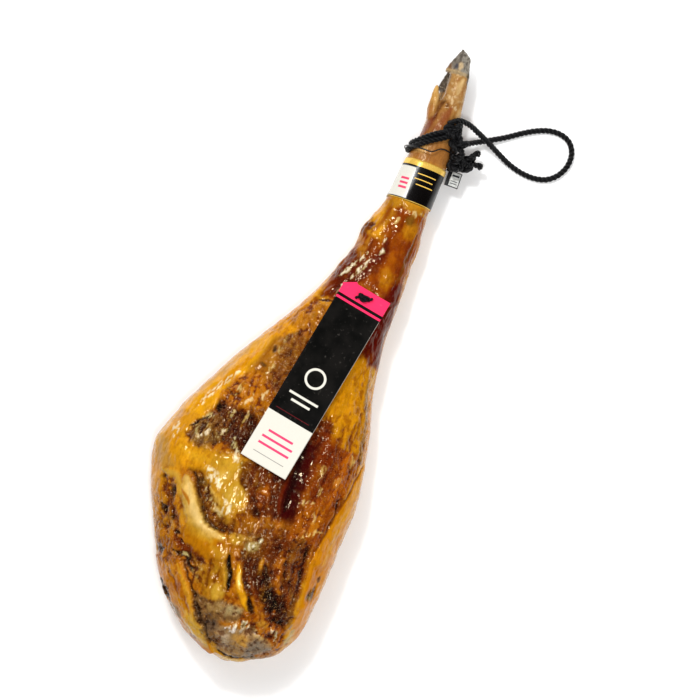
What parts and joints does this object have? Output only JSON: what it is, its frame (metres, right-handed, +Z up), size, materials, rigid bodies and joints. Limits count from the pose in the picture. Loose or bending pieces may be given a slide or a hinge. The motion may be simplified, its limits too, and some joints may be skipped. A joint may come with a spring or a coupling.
{
  "type": "whole bone-in cured ham",
  "caption": "Whole bone-in cured ham with trotter, lying cut face up, with a banded shank, a hang card, a strap seal and a hanging rope.",
  "frame": {"origin": "on the table under the middle of the ham's box", "axes": "+Y along the ham from the butt end to the hoof, +Z up out of the cut face, +X to the right seen from above"},
  "size_m": [0.3763, 0.824, 0.12],
  "materials": {
    "cured_meat": "oily golden fat, red-brown dried meat, glossy",
    "band_print": "coated paper, black with a gold edge and a cream panel",
    "card": "satin printed card, black over cream with pink shapes",
    "cord": "soft black cord",
    "seal_plastic": "smooth black plastic",
    "seal_foil": "crinkled silver foil",
    "rope": "three-strand black rope, slight sheen"
  },
  "bodies": {
    "root": {"ham": "cured_meat", "shank_band": "band_print", "hang_tag": "card", "tag_tie": "cord", "seal_strap": "seal_plastic", "seal_tab": "seal_plastic", "seal_label": "seal_foil", "rope_loop": "rope", "rope_collar_turn_1": "rope", "rope_collar_turn_2": "rope", "rope_knot": "rope", "rope_stopper_knot": "rope", "rope_tail_1": "rope", "rope_tail_2": "rope"}
  },
  "joints": []
}
